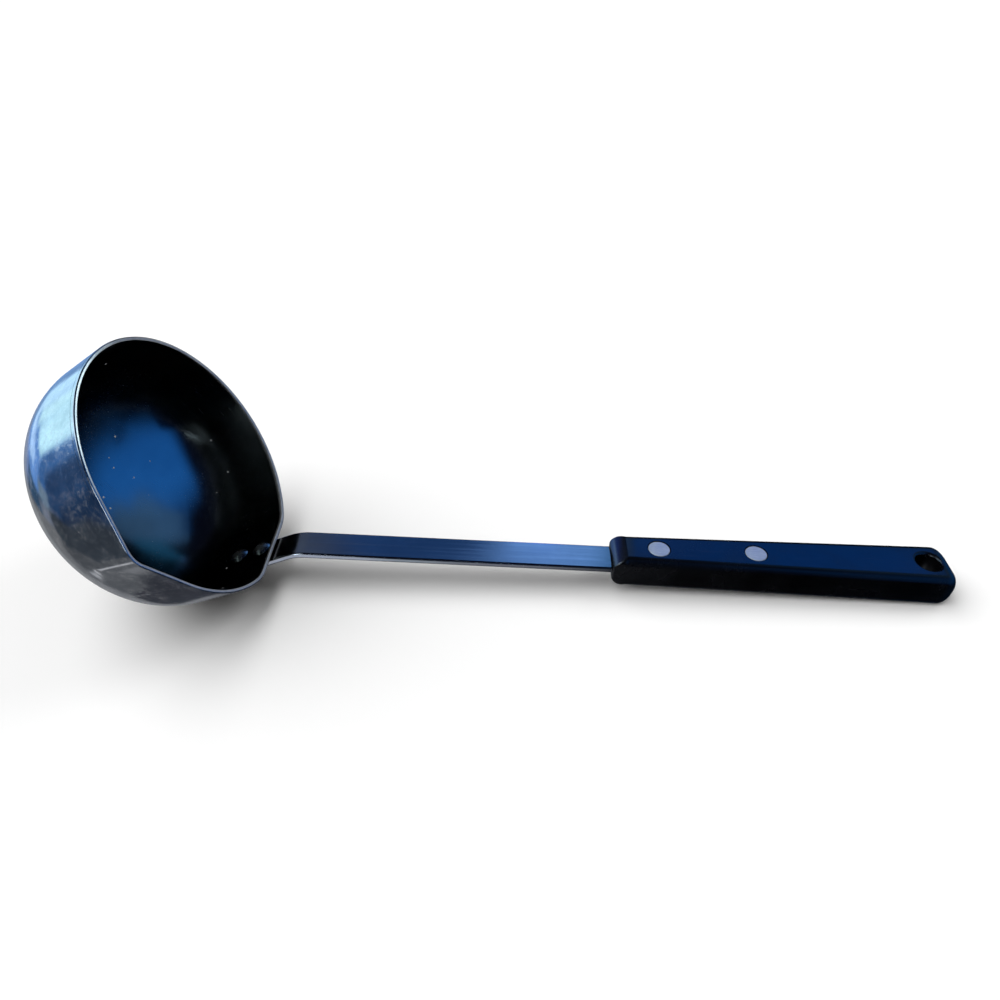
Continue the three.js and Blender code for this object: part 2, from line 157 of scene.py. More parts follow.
# Shank's line in the ladle's upright plane, from the rim's centre, with X along the shank
seat_lean = BOWL_LEAN - WALL_DRAFT
across_bowl = Vector((math.sin(BOWL_LEAN), -math.cos(BOWL_LEAN)))
up_wall = Vector((math.cos(seat_lean), math.sin(seat_lean)))
out_of_wall = Vector((math.sin(seat_lean), -math.cos(seat_lean)))
strip_offset = out_of_wall * (CLEARANCE + SHANK_THICKNESS / 2)
seat_at_rim = across_bowl * (RIM_RADIUS - SEAT_INSET) + strip_offset
shank_corner = seat_at_rim + up_wall * NECK_LENGTH
shoulder_x = shank_corner.x + SHANK_LENGTH
handle_at = Vector((shoulder_x + CLEARANCE, 0, shank_corner.y - TANG_RISE))


def rivet_middle(name):
    """Middle of a handle rivet at rest, from the boxes of its two halves."""
    lows, highs = zip(*[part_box(f"handle_rivet_{name}_{half}") for half in ("post", "cap")])
    low = [min(values) for values in zip(*lows)]
    high = [max(values) for values in zip(*highs)]
    return (Vector(low) + Vector(high)) / 2


def rest_place():
    """Place and tilt of the ladle in the frame, found from its two handle rivets."""
    front = rivet_middle("front")
    along = rivet_middle("rear") - front
    turn = Matrix.Rotation(math.atan2(-along.z, along.x), 4, "Y")
    front_from_rim = handle_at + Vector((FRONT_RIVET_AT, 0, 0))
    return Matrix.Translation(front - turn @ front_from_rim) @ turn


ladle = rest_place()
bowl_frame = ladle @ Matrix.Rotation(QUARTER - BOWL_LEAN, 4, "Y")
handle_frame = ladle @ Matrix.Translation(handle_at)


def add_object(name, data, place):
    obj = bpy.data.objects.new(name, data)
    bpy.context.scene.collection.objects.link(obj)
    obj.matrix_world = place
    return obj


def new_mesh(name, points, faces):
    mesh = bpy.data.meshes.new(name)
    mesh.from_pydata(points, [], faces)
    return mesh


def tube(name, rings):
    """Skin over closed rings of points, with a face at each end."""
    count = len(rings[0])
    points = [tuple(point) for ring in rings for point in ring]
    faces = []
    for ring in range(len(rings) - 1):
        for k in range(count):
            here = ring * count + k
            after = ring * count + (k + 1) % count
            faces.append((here, after, after + count, here + count))
    last = (len(rings) - 1) * count
    faces.append(tuple(range(count - 1, -1, -1)))
    faces.append(tuple(last + k for k in range(count)))
    return new_mesh(name, points, faces)


def revolved_faces(rows, columns):
    """Faces of two poles, points 0 and 1, and the rows of points around the axis between them."""
    faces = []
    last = 2 + (rows - 1) * columns
    for k in range(columns):
        after = (k + 1) % columns
        faces.append((0, 2 + after, 2 + k))
        faces.append((1, last + k, last + after))
        for row in range(rows - 1):
            low = 2 + row * columns
            high = low + columns
            faces.append((low + k, low + after, high + after, high + k))
    return faces


def turned(name, profile, segments=ROUND_SEGMENTS):
    """Solid revolved about Z from (radius, height) pairs that start and end on the axis."""
    points = [(0, 0, profile[0][1]), (0, 0, profile[-1][1])]
    body = profile[1:-1]
    for radius, height in body:
        for k in range(segments):
            turn = 2 * math.pi * k / segments
            points.append((radius * math.cos(turn), radius * math.sin(turn), height))
    return new_mesh(name, points, revolved_faces(len(body), segments))


def arc(centre, radius, start, end, steps):
    turns = [start + (end - start) * k / steps for k in range(steps + 1)]
    return [(centre[0] + radius * math.cos(t), centre[1] + radius * math.sin(t)) for t in turns]


def rounded_section(half_width, half_height, radius, steps):
    """Rectangle with rounded corners, as (y, z) pairs."""
    section = []
    for corner in range(4):
        side_y = 1 if corner in (0, 3) else -1
        side_z = 1 if corner < 2 else -1
        for step in range(steps + 1):
            turn = (corner + step / steps) * QUARTER
            y = side_y * (half_width - radius) + radius * math.cos(turn)
            z = side_z * (half_height - radius) + radius * math.sin(turn)
            section.append((y, z))
    return section


def cut(obj, tools):
    """Takes the tools out of the object and leaves a plain mesh."""
    for tool in tools:
        change = obj.modifiers.new("cut", "BOOLEAN")
        change.operation = "DIFFERENCE"
        change.solver = "EXACT"
        change.object = tool
    bpy.context.view_layer.update()
    graph = bpy.context.evaluated_depsgraph_get()
    made = bpy.data.meshes.new_from_object(obj.evaluated_get(graph))
    obj.modifiers.clear()
    obj.data = made
    for tool in tools:
        bpy.data.objects.remove(tool)


def rod(radius, low, high, place):
    profile = [(0, low), (radius, low), (radius, high), (0, high)]
    return add_object("tool", turned("tool", profile), place)


def slab(low, high, place):
    xs, ys, zs = zip(low, high)
    corners = [(x, y, z) for x in xs for y in ys for z in zs]
    faces = [(0, 1, 3, 2), (4, 6, 7, 5), (0, 4, 5, 1), (2, 3, 7, 6), (0, 2, 6, 4), (1, 5, 7, 3)]
    return add_object("tool", new_mesh("tool", corners, faces), place)


def finish_piece(obj, node_name, material, sharp):
    """Puts the mesh in the shared frame, keeps its own coordinates for the textures, gives it its
    material, hangs it on the root body and hides the CAD part that it stands for.
    """
    mesh = obj.data
    own = np.empty(3 * len(mesh.vertices), dtype=np.float32)
    mesh.vertices.foreach_get("co", own)
    mesh.attributes.new("own_place", "FLOAT_VECTOR", "POINT").data.foreach_set("vector", own)
    mesh.transform(obj.matrix_world)
    obj.matrix_world = UNTURNED
    mesh.shade_smooth()
    mesh.set_sharp_from_angle(angle=math.radians(sharp))
    even = obj.modifiers.new("even_normals", "WEIGHTED_NORMAL")
    even.keep_sharp = True
    mesh.materials.clear()
    mesh.materials.append(material)
    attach(obj, "root")
    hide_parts(node_name)


# Materials: nodes


def node(tree, kind, links=None, **settings):
    made = tree.nodes.new(kind)
    for key, value in settings.items():
        setattr(made, key, value)
    for key, value in (links or {}).items():
        if isinstance(value, bpy.types.NodeSocket):
            tree.links.new(value, made.inputs[key])
        else:
            made.inputs[key].default_value = value
    return made


def empty_material(name):
    material = bpy.data.materials.new(name)
    material.use_nodes = True
    tree = material.node_tree
    tree.nodes.clear()
    return material, tree, node(tree, "ShaderNodeOutputMaterial")


def new_material(name):
    material, tree, out = empty_material(name)
    shader = node(tree, "ShaderNodeBsdfPrincipled")
    tree.links.new(shader.outputs["BSDF"], out.inputs["Surface"])
    return material, tree, shader


def marked(tree, name):
    return node(tree, "ShaderNodeAttribute", attribute_name=name).outputs["Fac"]


def stretched(tree, scale=(1, 1, 1), turn=(0, 0, 0)):
    """The piece's own coordinates, scaled and turned."""
    place = node(tree, "ShaderNodeAttribute", attribute_name="own_place").outputs["Vector"]
    mapping = node(tree, "ShaderNodeMapping", {"Vector": place, "Scale": scale, "Rotation": turn})
    return mapping.outputs["Vector"]


def noise(tree, vector, texture):
    scale, detail, rough = texture
    sockets = {"Vector": vector, "Scale": scale, "Detail": detail, "Roughness": rough}
    return node(tree, "ShaderNodeTexNoise", sockets).outputs["Fac"]


def mapped(tree, value, source, target=(0, 1)):
    """Value carried smoothly from one range to another and held at the ends."""
    sockets = {"Value": value}
    sockets.update(zip(("From Min", "From Max"), source))
    sockets.update(zip(("To Min", "To Max"), target))
    return node(tree, "ShaderNodeMapRange", sockets, interpolation_type="SMOOTHSTEP").outputs["Result"]


def maths(tree, operation, a, b):
    return node(tree, "ShaderNodeMath", {0: a, 1: b}, operation=operation).outputs[0]


def product(tree, a, b):
    return maths(tree, "MULTIPLY", a, b)


def mixed(tree, share, a, b):
    """Mix of two colours, which are sockets 6 and 7 of the node, with the result in output 2."""
    return node(tree, "ShaderNodeMix", {0: share, 6: a, 7: b}, data_type="RGBA").outputs[2]


def scratches(tree, layer):
    """Fine straight streaks, 0 to 1, all in one direction."""
    turn, stretch, threshold = layer
    streaks = noise(tree, stretched(tree, stretch, turn), STREAKS)
    return mapped(tree, streaks, (threshold, threshold + SCRATCH_SOFTNESS))


def bump(tree, shader, height, relief):
    strength, depth = relief
    made = node(tree, "ShaderNodeBump", {"Height": height, "Strength": strength, "Distance": depth})
    tree.links.new(made.outputs["Normal"], shader.inputs["Normal"])


# Stretches of a noise that are carried to a look
MIDDLE = (0.35, 0.65)
UPPER = (0.35, 0.7)
WIDE = (0.3, 0.7)

# Tones run from one colour to another. A texture is repeats per metre, detail and roughness, a relief is
# strength and depth, and a layer of scratches is turn, repeats per metre along each axis and threshold.
STREAKS = (1, 2, 0.5)
SCRATCH_SOFTNESS = 0.08

# Bowl's steel
OUTSIDE_TONES = ((0.48, 0.49, 0.51, 1), (0.64, 0.64, 0.65, 1))
INSIDE_TONES = ((0.47, 0.49, 0.52, 1), (0.59, 0.6, 0.62, 1))
# Ground rim's grey steel with a bluish cast that paints the blue light it reflects
RIM_STEEL_AND_PAINTED_BLUE = ((0.46, 0.5, 0.56, 1), (0.62, 0.66, 0.71, 1))
BOWL_SCRATCH_TONE = (0.8, 0.8, 0.81, 1)
SPECK_TONE = (0.8, 0.82, 0.84, 1)
BOWL_CLOUD = (42, 4, 0.5)
BOWL_BLOTCH = (150, 6, 0.62)
BOWL_MOTTLE = (620, 5, 0.7)
BOWL_WAVE = (36, 1, 0.5)
BOWL_SCRATCHES = (
    ((0.3, 0.5, 0.7), (40, 1300, 1300), 0.63),
    ((1.1, -0.4, 0.2), (60, 1500, 1500), 0.65),
)
BOWL_SCRATCH_SHARE = 0.35
BOWL_RELIEF = (0.35, 0.6 * MM)
BLOTCH_RELIEF = 0.04
SCRATCH_RELIEF = -0.01
OUTSIDE_BLOTCHES = (0.35, 0.68)
OUTSIDE_ROUGHNESS = (0.08, 0.15)
INSIDE_ROUGHNESS = (0.16, 0.25)
DEPOSIT_ROUGHNESS = 0.16
RIM_ROUGHNESS = 0.4
SCRATCH_ROUGHNESS = 0.06
DEPOSIT_DULLNESS = 0.15
RIM_DULLNESS = 0.42

# Deposit on the outside: where it thickens toward the lip, its film, its water rings
USED_SIDE = (12 * MM, -26 * MM)
USED_LEAST = 0.12
FILM_GRAIN = (0.42, 0.72)
FILM_AREAS = (0.4, 0.66)
FILM_LEAST = 0.15
RING_CELLS = 300
RING_INNER_EDGE = (0.16, 0.24)
RING_OUTER_EDGE = (0.26, 0.34)
RING_AREAS = (0.48, 0.62)
RING_SHARE = 0.5

# Specks on the inside: cells per metre, soft edge, and the draw that picks the cells
SPECK_CELLS = 240
SPECK_EDGE = (0.06, 0.13)
SPECK_DRAW = (0.84, 0.86)


def deposit_mask(tree, even, outer, cloud, blotch):
    """Film and water rings, 0 to 1, thickest on the outside toward the lip."""
    toward_lip = node(tree, "ShaderNodeSeparateXYZ", {0: even}).outputs["Y"]
    used = product(tree, mapped(tree, toward_lip, USED_SIDE, (USED_LEAST, 1)), outer)
    cells = node(tree, "ShaderNodeTexVoronoi", {"Vector": even, "Scale": RING_CELLS})
    inner_edge = mapped(tree, cells.outputs["Distance"], RING_INNER_EDGE)
    outer_edge = mapped(tree, cells.outputs["Distance"], RING_OUTER_EDGE, (1, 0))
    places = mapped(tree, cloud, RING_AREAS, (0, RING_SHARE))
    rings = product(tree, product(tree, inner_edge, outer_edge), places)
    grain = mapped(tree, noise(tree, even, BOWL_MOTTLE), FILM_GRAIN)
    film = product(tree, grain, mapped(tree, blotch, FILM_AREAS, (FILM_LEAST, 1)))
    return product(tree, maths(tree, "MAXIMUM", film, rings), used)


def speck_mask(tree, even, inner):
    """Dried specks, 0 to 1, in a few of the cells on the inside."""
    cells = node(tree, "ShaderNodeTexVoronoi", {"Vector": even, "Scale": SPECK_CELLS})
    near = mapped(tree, cells.outputs["Distance"], SPECK_EDGE, (1, 0))
    draw = node(tree, "ShaderNodeSeparateColor", {0: cells.outputs["Color"]}).outputs[0]
    return product(tree, product(tree, near, inner), mapped(tree, draw, SPECK_DRAW))


def bowl_material():
    """Worn satin steel outside, polished inside with dried specks, a ground edge at the rim with a
    painted bluish cast, widened on one side into a painted highlight strip.
    """
    material, tree, shader = new_material("bowl_steel")
    inner = marked(tree, "inner")
    rim = marked(tree, "rim")
    even = stretched(tree)
    cloud = noise(tree, even, BOWL_CLOUD)
    blotch = noise(tree, even, BOWL_BLOTCH)
    lines = maths(tree, "MAXIMUM", *[scratches(tree, layer) for layer in BOWL_SCRATCHES])
    deposit = deposit_mask(tree, even, maths(tree, "SUBTRACT", 1.0, inner), cloud, blotch)
    specks = speck_mask(tree, even, inner)

    plain = mixed(tree, mapped(tree, blotch, OUTSIDE_BLOTCHES), *OUTSIDE_TONES)
    worn = mixed(tree, product(tree, lines, BOWL_SCRATCH_SHARE), plain, BOWL_SCRATCH_TONE)
    shiny = mixed(tree, mapped(tree, cloud, MIDDLE), *INSIDE_TONES)
    # Rim colour with painted bluish light, also laid on the painted highlight strip
    rim_steel_and_painted_light = mixed(tree, mapped(tree, blotch, MIDDLE), *RIM_STEEL_AND_PAINTED_BLUE)
    edged = mixed(tree, rim, mixed(tree, inner, worn, shiny), rim_steel_and_painted_light)
    tree.links.new(mixed(tree, specks, edged, SPECK_TONE), shader.inputs["Base Color"])

    coated = product(tree, deposit, DEPOSIT_DULLNESS)
    dull = maths(tree, "MAXIMUM", coated, product(tree, rim, RIM_DULLNESS))
    bare = maths(tree, "SUBTRACT", 1.0, maths(tree, "MAXIMUM", dull, specks))
    tree.links.new(bare, shader.inputs["Metallic"])

    clean_out = mapped(tree, cloud, WIDE, OUTSIDE_ROUGHNESS)
    rough_out = maths(tree, "ADD", clean_out, product(tree, deposit, DEPOSIT_ROUGHNESS))
    rough_in = mapped(tree, cloud, WIDE, INSIDE_ROUGHNESS)
    sides = node(tree, "ShaderNodeMix", {0: inner, 2: rough_out, 3: rough_in}).outputs[0]
    either = maths(tree, "MAXIMUM", sides, product(tree, rim, RIM_ROUGHNESS))
    rough = maths(tree, "ADD", either, product(tree, lines, SCRATCH_ROUGHNESS))
    tree.links.new(rough, shader.inputs["Roughness"])

    wave = maths(tree, "ADD", noise(tree, even, BOWL_WAVE), product(tree, blotch, BLOTCH_RELIEF))
    height = maths(tree, "ADD", wave, product(tree, lines, SCRATCH_RELIEF))
    bump(tree, shader, height, BOWL_RELIEF)
    return material


# Shank's steel
SHANK_TONES = ((0.56, 0.57, 0.59, 1), (0.65, 0.66, 0.68, 1))
BRUSHED_TONE = (0.74, 0.75, 0.77, 1)
SHANK_CLOUD = (60, 4, 0.5)
BRUSHING = (1, 3, 0.5)
BRUSHING_STRETCH = (14, 700, 700)
BRUSHED_LINES = (0.45, 0.75)
BRUSHED_SHARE = 0.5
SHANK_ROUGHNESS = (0.12, 0.22)
SHANK_RELIEF = (0.12, 0.05 * MM)


def shank_material():
    """Steel brushed along the strip."""
    material, tree, shader = new_material("shank_steel")
    cloud = noise(tree, stretched(tree), SHANK_CLOUD)
    along = noise(tree, stretched(tree, BRUSHING_STRETCH), BRUSHING)
    plain = mixed(tree, mapped(tree, cloud, UPPER), *SHANK_TONES)
    lines = mapped(tree, along, BRUSHED_LINES, (0, BRUSHED_SHARE))
    tree.links.new(mixed(tree, lines, plain, BRUSHED_TONE), shader.inputs["Base Color"])
    shader.inputs["Metallic"].default_value = 1.0
    tree.links.new(mapped(tree, along, WIDE, SHANK_ROUGHNESS), shader.inputs["Roughness"])
    bump(tree, shader, along, SHANK_RELIEF)
    return material


# Handle's moulding
HANDLE_TONES = ((0.0007, 0.0007, 0.001, 1), (0.0014, 0.0014, 0.0018, 1))
HANDLE_SCRATCH_TONE = (0.012, 0.014, 0.018, 1)
HANDLE_CLOUD = (70, 4, 0.5)
HANDLE_PEEL = (420, 2, 0.5)
HANDLE_SCRATCHES = ((0, 0, 0.25), (70, 1300, 1300), 0.66)
HANDLE_SCRATCH_SHARE = 0.25
HANDLE_ROUGHNESS = (0.2, 0.28)
HANDLE_IOR = 1.66
HANDLE_RELIEF = (0.08, 0.2 * MM)


def handle_material():
    """Glossy black moulding with a faint orange peel and a few scratches."""
    material, tree, shader = new_material("handle_black")
    even = stretched(tree)
    cloud = noise(tree, even, HANDLE_CLOUD)
    lines = product(tree, scratches(tree, HANDLE_SCRATCHES), HANDLE_SCRATCH_SHARE)
    plain = mixed(tree, mapped(tree, cloud, UPPER), *HANDLE_TONES)
    tree.links.new(mixed(tree, lines, plain, HANDLE_SCRATCH_TONE), shader.inputs["Base Color"])
    tree.links.new(mapped(tree, cloud, WIDE, HANDLE_ROUGHNESS), shader.inputs["Roughness"])
    shader.inputs["IOR"].default_value = HANDLE_IOR
    bump(tree, shader, noise(tree, even, HANDLE_PEEL), HANDLE_RELIEF)
    return material


# Rivets' steel
RIVET_TONES = ((0.53, 0.575, 0.575, 1), (0.63, 0.685, 0.68, 1))
RIVET_SCRATCH_TONE = (0.85, 0.85, 0.86, 1)
RIVET_CLOUD = (300, 3, 0.5)
RIVET_SCRATCHES = ((0, 0, 0.6), (200, 3200, 3200), 0.58)
RIVET_SCRATCH_SHARE = 0.5
RIVET_ROUGHNESS = (0.2, 0.32)
SCUFF_METAL = 0.68
SCUFF_ROUGHNESS = 0.16
RIVET_RELIEF = (0.15, 0.04 * MM)


def rivet_material():
    """Steel that is nearly clean on the bowl's rivets and scuffed dull on the handle's heads."""
    material, tree, shader = new_material("rivet_steel")
    scuffed = marked(tree, "scuffed")
    cloud = noise(tree, stretched(tree), RIVET_CLOUD)
    lines = scratches(tree, RIVET_SCRATCHES)
    plain = mixed(tree, mapped(tree, cloud, UPPER), *RIVET_TONES)
    worn = mixed(tree, product(tree, lines, RIVET_SCRATCH_SHARE), plain, RIVET_SCRATCH_TONE)
    tree.links.new(worn, shader.inputs["Base Color"])
    tree.links.new(mapped(tree, scuffed, (0, 1), (1, SCUFF_METAL)), shader.inputs["Metallic"])
    clean = mapped(tree, cloud, WIDE, RIVET_ROUGHNESS)
    rough = maths(tree, "ADD", clean, product(tree, scuffed, SCUFF_ROUGHNESS))
    tree.links.new(rough, shader.inputs["Roughness"])
    bump(tree, shader, lines, RIVET_RELIEF)
    return material


# Bowl

crown_centre = BOWL_DEPTH - CROWN_RADIUS


def shoulder_centre():
    """(radius, depth) of the centre of the shoulder arc, which touches the wall and the crown."""
    slope = math.tan(WALL_DRAFT)
    reach = RIM_RADIUS - SHOULDER_RADIUS / math.cos(WALL_DRAFT)
    square = 1 + slope**2
    half = reach * slope + crown_centre
    rest = reach**2 + crown_centre**2 - (CROWN_RADIUS - SHOULDER_RADIUS) ** 2
    depth = (half + math.sqrt(half**2 - square * rest)) / square
    return reach - depth * slope, depth


def meridian(inset, top):
    """(radius, depth) pairs from a depth below the rim down to the axis, closer together at the top."""
    centre_r, centre_d = shoulder_centre()
    shoulder = SHOULDER_RADIUS - inset
    crown_start = math.atan2(centre_d - crown_centre, centre_r)
    wall_end = centre_d + shoulder * math.sin(WALL_DRAFT)
    depths = [top + k * WALL_TOP_STEP for k in range(WALL_TOP_ROWS)]
    depths.extend(np.linspace(top, wall_end, WALL_ROWS + 1)[2:])
    rows = []
    for depth in depths:
        rows.append((RIM_RADIUS - depth * math.tan(WALL_DRAFT) - inset / math.cos(WALL_DRAFT), depth))
    for turn in np.linspace(WALL_DRAFT, crown_start, SHOULDER_ROWS + 1)[1:]:
        rows.append((centre_r + shoulder * math.cos(turn), centre_d + shoulder * math.sin(turn)))
    crown = CROWN_RADIUS - inset
    for turn in np.linspace(crown_start, QUARTER, CROWN_ROWS + 1)[1:]:
        rows.append((crown * math.cos(turn), crown_centre + crown * math.sin(turn)))
    return rows


def lipped(radius, depth, turn, inset):
    """Radius with the pouring lip: two flat flanks and a round nose, fading out down the wall."""
    fade = max(0.0, 1 - depth / LIP_DEPTH)
    flank = math.acos(RIM_RADIUS / (RIM_RADIUS + LIP_REACH * fade))
    off = abs(turn)
    if off >= flank:
        return radius
    corner = LIP_ROUND - inset
    centre = (radius - corner) / math.cos(flank)
    corner_turn = math.atan2(corner * math.sin(flank), centre + corner * math.cos(flank))
    if off >= corner_turn:
        return radius / math.cos(flank - off)
    return centre * math.cos(off) + math.sqrt(corner**2 - (centre * math.sin(off)) ** 2)


def seated(radius, depth, angle, inset):
    """Radius with the flat for the shank, blended softly into the wall."""
    if abs(angle) > SEAT_SPAN:
        return radius
    at_rim = RIM_RADIUS - SEAT_INSET - inset / math.cos(WALL_DRAFT)
    flat = (at_rim - depth * math.tan(WALL_DRAFT)) / math.cos(angle)
    share = min(1.0, max(0.0, 0.5 + (flat - radius) / (2 * SEAT_BLEND)))
    return flat + (radius - flat) * share - SEAT_BLEND * share * (1 - share)


def bowl_profile():
    """(radius, depth, inset, inner, rim) from the axis outside, over the rim, to the axis inside."""
    outside = [(r, d, SKIN, 0.0, 0.0) for r, d in meridian(SKIN, RIM_ROUND)]
    inside = [(r, d, SHEET, 1.0, 0.0) for r, d in meridian(SHEET, RIM_ROUND)]
    outer_r, inner_r = outside[0][0], inside[0][0]
    edge = []
    for k in range(1, RIM_STEPS + 1):
        turn = QUARTER * k / RIM_STEPS
        back = RIM_ROUND * (1 - math.cos(turn))
        on_top = 1.0 if k == RIM_STEPS else 0.0
        edge.append((outer_r - back, RIM_ROUND * (1 - math.sin(turn)), SKIN + back, 0.0, on_top))
    for k in range(RIM_STEPS):
        turn = QUARTER * (1 - k / RIM_STEPS)
        back = RIM_ROUND * (1 - math.cos(turn))
        edge.append((inner_r + back, RIM_ROUND * (1 - math.sin(turn)), SHEET - back, 0.0, 1.0))
    return outside[::-1] + edge + inside


def painted_highlight_strip(angle, depth):
    """Share of painted highlight on the inside, just below the rim and on one side only, where light
    falls on the inner wall.
    """
    facing = max(0.0, math.cos(angle - PAINTED_HIGHLIGHT_SIDE))
    fall = 1 - (depth - RIM_ROUND) / (PAINTED_HIGHLIGHT_WIDTH * facing + SKIN)
    return PAINTED_HIGHLIGHT_SHARE * max(0.0, fall) * facing


def seat_frame(down):
    """Frame on the seat's outer face, a distance down the wall: X up the wall, Z out of it."""
    up = Vector((math.sin(WALL_DRAFT), 0, math.cos(WALL_DRAFT)))
    out = Vector((math.cos(WALL_DRAFT), 0, -math.sin(WALL_DRAFT)))
    side = out.cross(up)
    at = Vector((RIM_RADIUS - SEAT_INSET, 0, 0)) - up * down
    columns = Matrix((up, side, out)).transposed().to_4x4()
    return bowl_frame @ Matrix.Translation(at) @ columns


def make_bowl():
    profile = bowl_profile()
    body = profile[1:-1]
    points = [(0, 0, -profile[0][1]), (0, 0, -profile[-1][1])]
    inner = [0.0, 1.0]
    rim = [0.0, 0.0]
    for radius, depth, inset, is_inner, is_rim in body:
        for k in range(BOWL_COLUMNS):
            angle = 2 * math.pi * k / BOWL_COLUMNS - math.pi
            turn = math.remainder(angle - LIP_ANGLE, 2 * math.pi)
            pressed = seated(lipped(radius, depth, turn, inset), depth, angle, inset)
            points.append((pressed * math.cos(angle), pressed * math.sin(angle), -depth))
            inner.append(is_inner)
            # The rim mark holds the ground edge and, on one side, the painted highlight strip below it
            rim.append(max(is_rim, painted_highlight_strip(angle, depth) * is_inner))
    mesh = new_mesh("bowl_shell", points, revolved_faces(len(body), BOWL_COLUMNS))
    mesh.attributes.new("inner", "FLOAT", "POINT").data.foreach_set("value", inner)
    mesh.attributes.new("rim", "FLOAT", "POINT").data.foreach_set("value", rim)
    bowl = add_object("bowl_shell", mesh, bowl_frame)
    hole = BOWL_RIVET_RADIUS + CLEARANCE
    cut(bowl, [rod(hole, -2 * SHEET, SHEET, seat_frame(down)) for down in bowl_rivet_places])
    finish_piece(bowl, "bowl", bowl_material(), BOWL_SHARP)


def dome(radius, height, base):
    """Edge to top of a spherical cap, as (radius, height) pairs."""
    sphere = (radius**2 + height**2) / (2 * height)
    start = math.atan2(sphere - height, radius)
    points = arc((0, base + height - sphere), sphere, start, QUARTER, DOME_STEPS)
    return points[:-1] + [(0, base + height)]


def mark_scuffed(mesh, share):
    """Wear on the outer ends of a rivet, falling to none a little below them."""
    heights = np.array([vertex.co.z for vertex in mesh.vertices])
    below = np.minimum(heights - heights.min(), heights.max() - heights)
    values = share * np.clip(1 - below / SCUFF_DEPTH, 0, 1)
    layer = mesh.attributes.new("scuffed", "FLOAT", "POINT")
    layer.data.foreach_set("value", values.astype(np.float32))


def make_bowl_rivets(material):
    head_seat = SHEET + CLEARANCE
    tail_seat = 2 * CLEARANCE + SHANK_THICKNESS
    head = [(r, -z) for r, z in dome(BOWL_HEAD_RADIUS - SKIN, BOWL_HEAD_HEIGHT, head_seat)]
    tail = dome(BOWL_TAIL_RADIUS - SKIN, BOWL_TAIL_HEIGHT, tail_seat)
    shaft = [(BOWL_RIVET_RADIUS, -head_seat), (BOWL_RIVET_RADIUS, tail_seat)]
    profile = head[::-1] + shaft + tail
    for name, down in zip(("upper", "lower"), bowl_rivet_places):
        mesh = turned(f"bowl_rivet_{name}_solid", profile)
        mark_scuffed(mesh, BOWL_RIVET_SCUFF)
        rivet = add_object(mesh.name, mesh, seat_frame(down))
        finish_piece(rivet, f"bowl_rivet_{name}", material, RIVET_SHARP)


# Shank


def strip_ring(at, lean, half_width):
    """Cross-section of the strip, square to a line that leans up by an angle."""
    up = Vector((-math.sin(lean), math.cos(lean)))
    section = rounded_section(half_width, SHANK_THICKNESS / 2, SHANK_EDGE, STRIP_EDGE_STEPS)
    return [(at.x + up.x * z, y, at.y + up.y * z) for y, z in section]


def shank_rings():
    wide = SHANK_WIDTH / 2 - SKIN / 2
    rings = []
    start = seat_at_rim - up_wall * SEAT_LENGTH
    for step in range(SEAT_STEPS + 1):
        along = SEAT_CORNER * (1 - math.cos(step / SEAT_STEPS * QUARTER))
        corner = math.sqrt(max(0, SEAT_CORNER**2 - (SEAT_CORNER - along) ** 2))
        rings.append(strip_ring(start + up_wall * along, seat_lean, wide - SEAT_CORNER + corner))
    tangent = BEND_RADIUS * math.tan(seat_lean / 2)
    centre = shank_corner - up_wall * tangent + out_of_wall * BEND_RADIUS
    for step in range(BEND_STEPS + 1):
        lean = seat_lean * (1 - step / BEND_STEPS)
        at = centre + Vector((-math.sin(lean), math.cos(lean))) * BEND_RADIUS
        rings.append(strip_ring(at, lean, wide))
    for x in np.linspace(shank_corner.x + tangent, shoulder_x, RUN_STEPS + 1)[1:]:
        rings.append(strip_ring(Vector((x, shank_corner.y)), 0, wide))
    for x in np.linspace(shoulder_x, shoulder_x + TANG_LENGTH, TANG_STEPS + 1):
        rings.append(strip_ring(Vector((x, shank_corner.y)), 0, TANG_WIDTH / 2))
    return rings


def make_shank():
    shank = add_object("shank_strip", tube("shank_strip", shank_rings()), ladle)
    through = SHANK_THICKNESS
    tools = []
    for down in bowl_rivet_places:
        tools.append(rod(BOWL_RIVET_RADIUS + CLEARANCE, -through, 2 * through, seat_frame(down)))
    for x in handle_rivet_places:
        at = handle_frame @ Matrix.Translation((x, 0, TANG_RISE))
        tools.append(rod(POST_RADIUS + CLEARANCE, -through, through, at))
    cut(shank, tools)
    finish_piece(shank, "shank", shank_material(), SHANK_SHARP)


# Handle


def handle_half_width(x):
    return (FRONT_WIDTH + (END_WIDTH - FRONT_WIDTH) * x / HANDLE_LENGTH) / 2


def handle_ring(x, half_width, half_height, radius):
    return [(x, y, z) for y, z in rounded_section(half_width, half_height, radius, HANDLE_EDGE_STEPS)]


